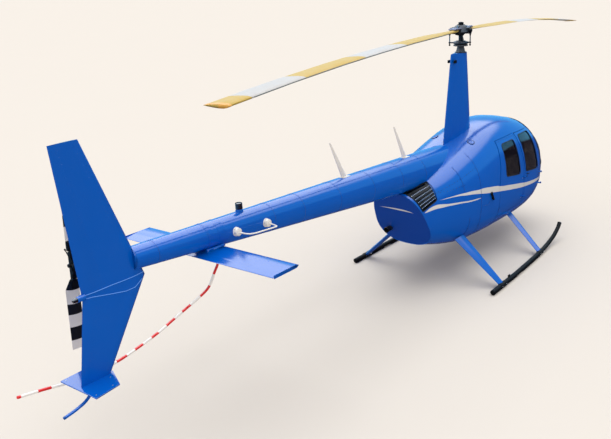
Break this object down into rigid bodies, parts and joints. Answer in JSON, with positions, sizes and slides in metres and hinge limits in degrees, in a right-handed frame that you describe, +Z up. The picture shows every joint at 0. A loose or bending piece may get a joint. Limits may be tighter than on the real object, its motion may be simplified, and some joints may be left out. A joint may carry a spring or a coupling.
{
  "type": "light helicopter",
  "caption": "Light piston helicopter with a two-blade main rotor, hinged cabin doors, a cone tail boom with a side tail rotor, split fins and a skid landing gear.",
  "frame": {"origin": "middle of the whole helicopter's box at ground level, 0.84 m aft of the rotor mast, on the plane of the skids' soles", "axes": "+Y aft along the boom, -Y to the nose, +X to the helicopter's left, +Z up"},
  "size_m": [2.244, 11.7409, 3.33],
  "materials": {
    "blue_paint": "glossy two-pack enamel",
    "tinted_glazing": "grey tinted acrylic",
    "black_paint": "satin black enamel",
    "cabin_trim": "moulded trim",
    "engine_metal": "as cast",
    "seat_leather": "grained",
    "exhaust_steel": "heat dulled",
    "rotor_metal": "anodised and satin",
    "main_blade_paint": "satin, with white bands",
    "tail_blade_paint": "satin, with white bands",
    "guard_paint": "gloss red and white bands",
    "white_plastic": "moulded"
  },
  "bodies": {
    "airframe": {"cabin_shell": "blue_paint", "engine_cowl": "blue_paint", "aft_cowl_panel": "blue_paint", "mast_fairing": "blue_paint", "tail_boom": "blue_paint", "stabilizer": "blue_paint", "upper_fin": "blue_paint", "lower_fin": "blue_paint", "fin_end_plate": "blue_paint", "tail_skid": "blue_paint", "strut_front_right": "blue_paint", "strut_front_left": "blue_paint", "strut_rear_right": "blue_paint", "strut_rear_left": "blue_paint", "windshield_right": "tinted_glazing", "windshield_left": "tinted_glazing", "skid_right": "black_paint", "skid_left": "black_paint", "louvre_right": "black_paint", "louvre_left": "black_paint", "beacon": "black_paint", "console": "black_paint", "cyclic_stick": "black_paint", "cabin_floor": "cabin_trim", "rear_bulkhead": "cabin_trim", "engine_block": "engine_metal", "front_seat_right": "seat_leather", "front_seat_left": "seat_leather", "rear_seat_right": "seat_leather", "rear_seat_left": "seat_leather", "exhaust_pipe": "exhaust_steel", "mast_tube": "rotor_metal", "tail_gearbox": "rotor_metal", "tail_rotor_guard": "guard_paint", "antenna_aft": "white_plastic", "antenna_fore": "white_plastic", "nav_antenna_right": "white_plastic", "nav_antenna_left": "white_plastic", "tail_light": "white_plastic"},
    "main_rotor": {"rotor_hub": "rotor_metal", "swashplate_and_links": "rotor_metal", "main_blade_near": "main_blade_paint", "main_blade_far": "main_blade_paint"},
    "tail_rotor": {"tail_rotor_hub": "rotor_metal", "tail_blade_upper": "tail_blade_paint", "tail_blade_lower": "tail_blade_paint"},
    "front_door_right": {"front_door_right": "blue_paint", "front_door_right_window": "tinted_glazing"},
    "front_door_left": {"front_door_left": "blue_paint", "front_door_left_window": "tinted_glazing"},
    "rear_door_right": {"rear_door_right": "blue_paint", "rear_door_right_window": "tinted_glazing"},
    "rear_door_left": {"rear_door_left": "blue_paint", "rear_door_left_window": "tinted_glazing"}
  },
  "joints": [
    {"name": "main_rotor_spin", "type": "hinge", "parent": "airframe", "child": "main_rotor", "pos_m": [0, -0.84164, 3.225], "axis": [0, 0, 1], "continuous": true},
    {"name": "tail_rotor_spin", "type": "hinge", "parent": "airframe", "child": "tail_rotor", "pos_m": [0.43, 5.10936, 1.82], "axis": [1, 0, 0], "continuous": true},
    {"name": "front_door_right_hinge", "type": "hinge", "parent": "airframe", "child": "front_door_right", "pos_m": [-0.62256, -2.40264, 0.8], "axis": [0, 0, 1], "range_deg": [0, 80]},
    {"name": "front_door_left_hinge", "type": "hinge", "parent": "airframe", "child": "front_door_left", "pos_m": [0.62256, -2.40264, 0.8], "axis": [0, 0, -1], "range_deg": [0, 80]},
    {"name": "rear_door_right_hinge", "type": "hinge", "parent": "airframe", "child": "rear_door_right", "pos_m": [-0.67407, -1.67364, 0.78], "axis": [0, 0, 1], "range_deg": [0, 80]},
    {"name": "rear_door_left_hinge", "type": "hinge", "parent": "airframe", "child": "rear_door_left", "pos_m": [0.67407, -1.67364, 0.78], "axis": [0, 0, -1], "range_deg": [0, 80]}
  ],
  "couplings": [
    {"joint": "tail_rotor_spin", "follows": "main_rotor_spin", "ratio": -5.95}
  ]
}
